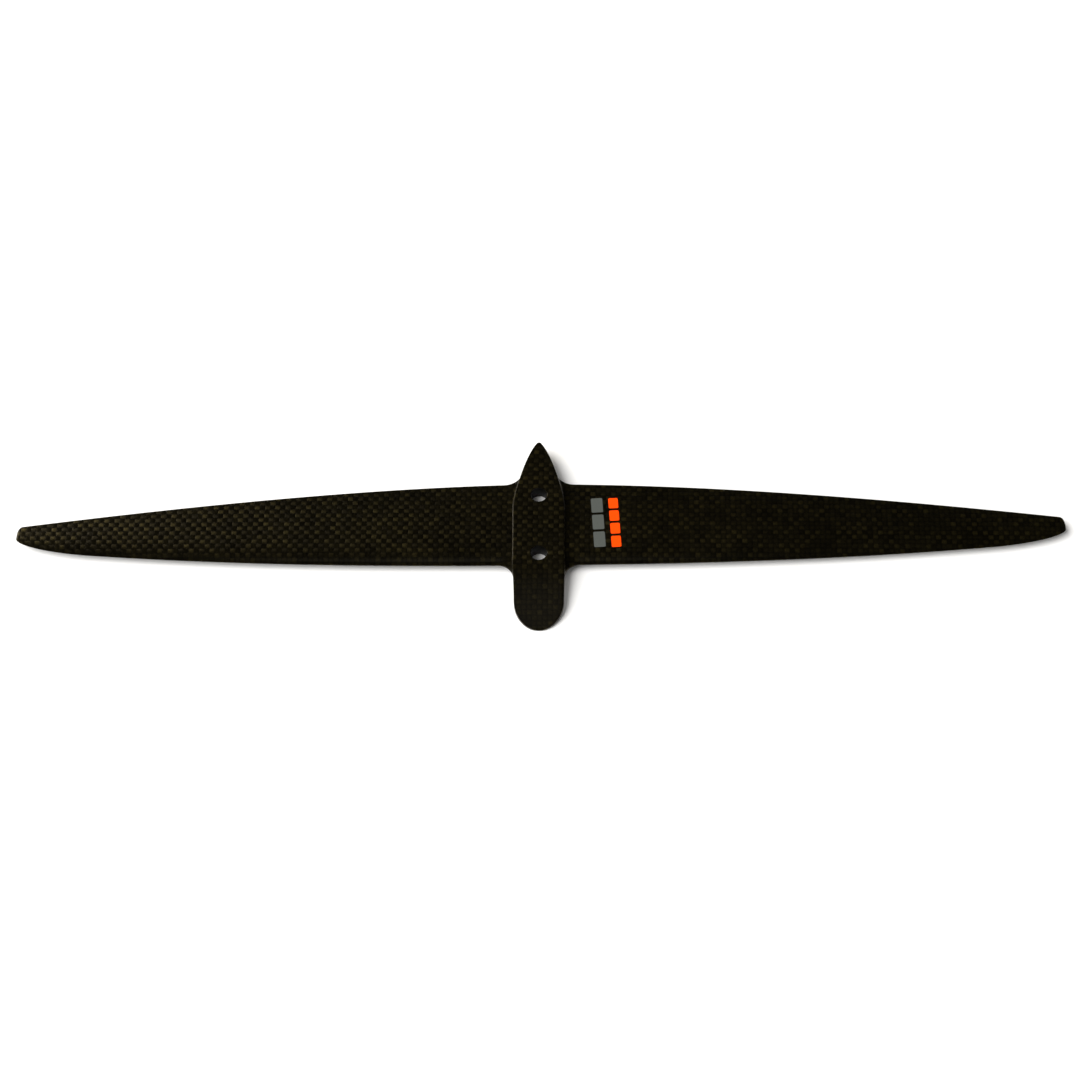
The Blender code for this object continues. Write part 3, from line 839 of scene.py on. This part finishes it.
# thick carbon laminate, milled: dark, with its layers as fine level lines
milledLaminate = grainedMaterial("milledLaminate", "#2c2c2c", "#171717", grain=0.833 * mm,
                                 squeeze=(1, 1, 8), rough=0.5, relief=0.02 * mm)

for piece in (upperSkin, lowerSkin):
    wear(piece, carbonSkin)
for piece in (frontSleeve, rearSleeve):
    wear(piece, woundTube)
wear(greyMark, greyFilm)
wear(orangeMark, orangeFilm)

innerMaterials = {  # by a word in the name of the node
    "main_spar": spanwiseCarbon,
    "roving": wettedRoving,
    "nose_core": coreFoam,
    "aft_core": coreFoam,
    "strip": filledResin,
    "hub_core": milledLaminate,
    "tongue_core": filledResin,
    "tail_core": filledResin,
}
for nodeName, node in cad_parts.items():
    for word, material in innerMaterials.items():
        if word in nodeName:
            wear(node, material)
print("materials made")

studio = {
    "floor": ("#f4f3f1", "#f1f0ee"),
    "floorSize": 14,
    "floorGrain": 3.333 * mm,
    "floorGap": 0.05 * mm,  # under the wing
    "keyFrom": (-1.0, -0.2, 1.0),  # from the left and a little ahead
    "keyPower": 5.2,
    "keyAngle": math.radians(60),
    "sidePlace": (-0.62, 0.42, 0.34),
    "sideSize": 0.25,
    "sidePower": 2.5,
    "sideColour": "#fff6e4",
    "topPlace": (-0.1, -0.05, 1.2),
    "topSize": 0.35,
    "topPower": 0.22,
    "fill": 0.32,  # light from all round
    "sheen": 0.015,  # brightness of the room in reflections
    "sheenColour": "#ffecc8",
    "elevation": math.radians(58.5),
    "yaw": math.radians(2.1),
    "roll": math.radians(2.34),
    "distance": 1.0,
    "aim": (0.5 * mm, -7.9 * mm, 6.8 * mm),
    "frameWidth": 0.4293,  # seen across the picture at the aim point
}


def makeFloor():
    deselectAll()
    level = cadLow.z - studio["floorGap"]
    bpy.ops.mesh.primitive_plane_add(size=studio["floorSize"], location=(0, 0, level))
    floor = bpy.context.active_object
    floor.name = "floor"
    light, dark = studio["floor"]
    material, tree = newMaterial("studioPaper")  # matt and all but white, with a faint grain
    place = addNode(tree, "ShaderNodeTexCoord").outputs["Object"]
    grain = addNode(tree, "ShaderNodeTexNoise", {"Scale": 1 / studio["floorGrain"], "Detail": 3.0},
                    {"Vector": place})
    tone = addNode(tree, "ShaderNodeMix", {"data_type": "RGBA", 6: colour(dark), 7: colour(light)},
                   {0: grain.outputs[0]})
    shader = addNode(tree, "ShaderNodeBsdfPrincipled", {"Roughness": 0.9, "Specular IOR Level": 0.1},
                     {"Base Color": tone.outputs[2]})
    addNode(tree, "ShaderNodeOutputMaterial", {}, {"Surface": shader.outputs[0]})
    wear(floor, material)


def addLight(name, kind, power, place, tint="#ffffff"):  # aimed at the origin
    light = bpy.data.lights.new(name, kind)
    light.energy = power
    light.color = colour(tint)[:3]
    holder = bpy.data.objects.new(name, light)
    holder.location = place
    holder.rotation_euler = Vector(place).to_track_quat("Z", "Y").to_euler()
    bpy.context.scene.collection.objects.link(holder)
    return holder


def makeLights():
    key = addLight("key", "SUN", studio["keyPower"], studio["keyFrom"])
    key.data.angle = studio["keyAngle"]
    key.visible_glossy = False
    side = addLight("side", "AREA", studio["sidePower"], studio["sidePlace"], studio["sideColour"])
    side.data.size = studio["sideSize"]
    top = addLight("top", "AREA", studio["topPower"], studio["topPlace"], studio["sideColour"])
    top.data.size = studio["topSize"]


def makeWorld():  # white to the camera, dimmer as light, and nearly black in reflections
    world = bpy.data.worlds.new("studio")
    bpy.context.scene.world = world
    world.use_nodes = True
    tree = world.node_tree
    tree.nodes.clear()
    rays = addNode(tree, "ShaderNodeLightPath")
    seen = addNode(tree, "ShaderNodeBackground", {"Color": colour("#ffffff"), "Strength": 1.0})
    fill = addNode(tree, "ShaderNodeBackground", {"Color": colour("#ffffff"), "Strength": studio["fill"]})
    sheen = addNode(tree, "ShaderNodeBackground",
                    {"Color": colour(studio["sheenColour"]), "Strength": studio["sheen"]})
    soft = addNode(tree, "ShaderNodeMixShader", {},
                   {0: rays.outputs["Is Glossy Ray"], 1: fill.outputs[0], 2: sheen.outputs[0]})
    both = addNode(tree, "ShaderNodeMixShader", {},
                   {0: rays.outputs["Is Camera Ray"], 1: soft.outputs[0], 2: seen.outputs[0]})
    addNode(tree, "ShaderNodeOutputWorld", {}, {"Surface": both.outputs[0]})


def makeCamera():
    s = studio
    back = Vector((math.sin(s["yaw"]) * math.cos(s["elevation"]),
                   -math.cos(s["yaw"]) * math.cos(s["elevation"]), math.sin(s["elevation"])))
    lens = bpy.data.cameras.new("camera")
    lens.lens = lens.sensor_width * s["distance"] / s["frameWidth"]
    camera = bpy.data.objects.new("camera", lens)
    camera.location = Vector(s["aim"]) + back * s["distance"]
    turn = (-back).to_track_quat("-Z", "Y") @ Quaternion((0, 0, 1), -s["roll"])
    camera.rotation_euler = turn.to_euler()
    bpy.context.scene.collection.objects.link(camera)
    bpy.context.scene.camera = camera


makeFloor()
makeLights()
makeWorld()
makeCamera()
bpy.context.scene.view_settings.view_transform = "Standard"
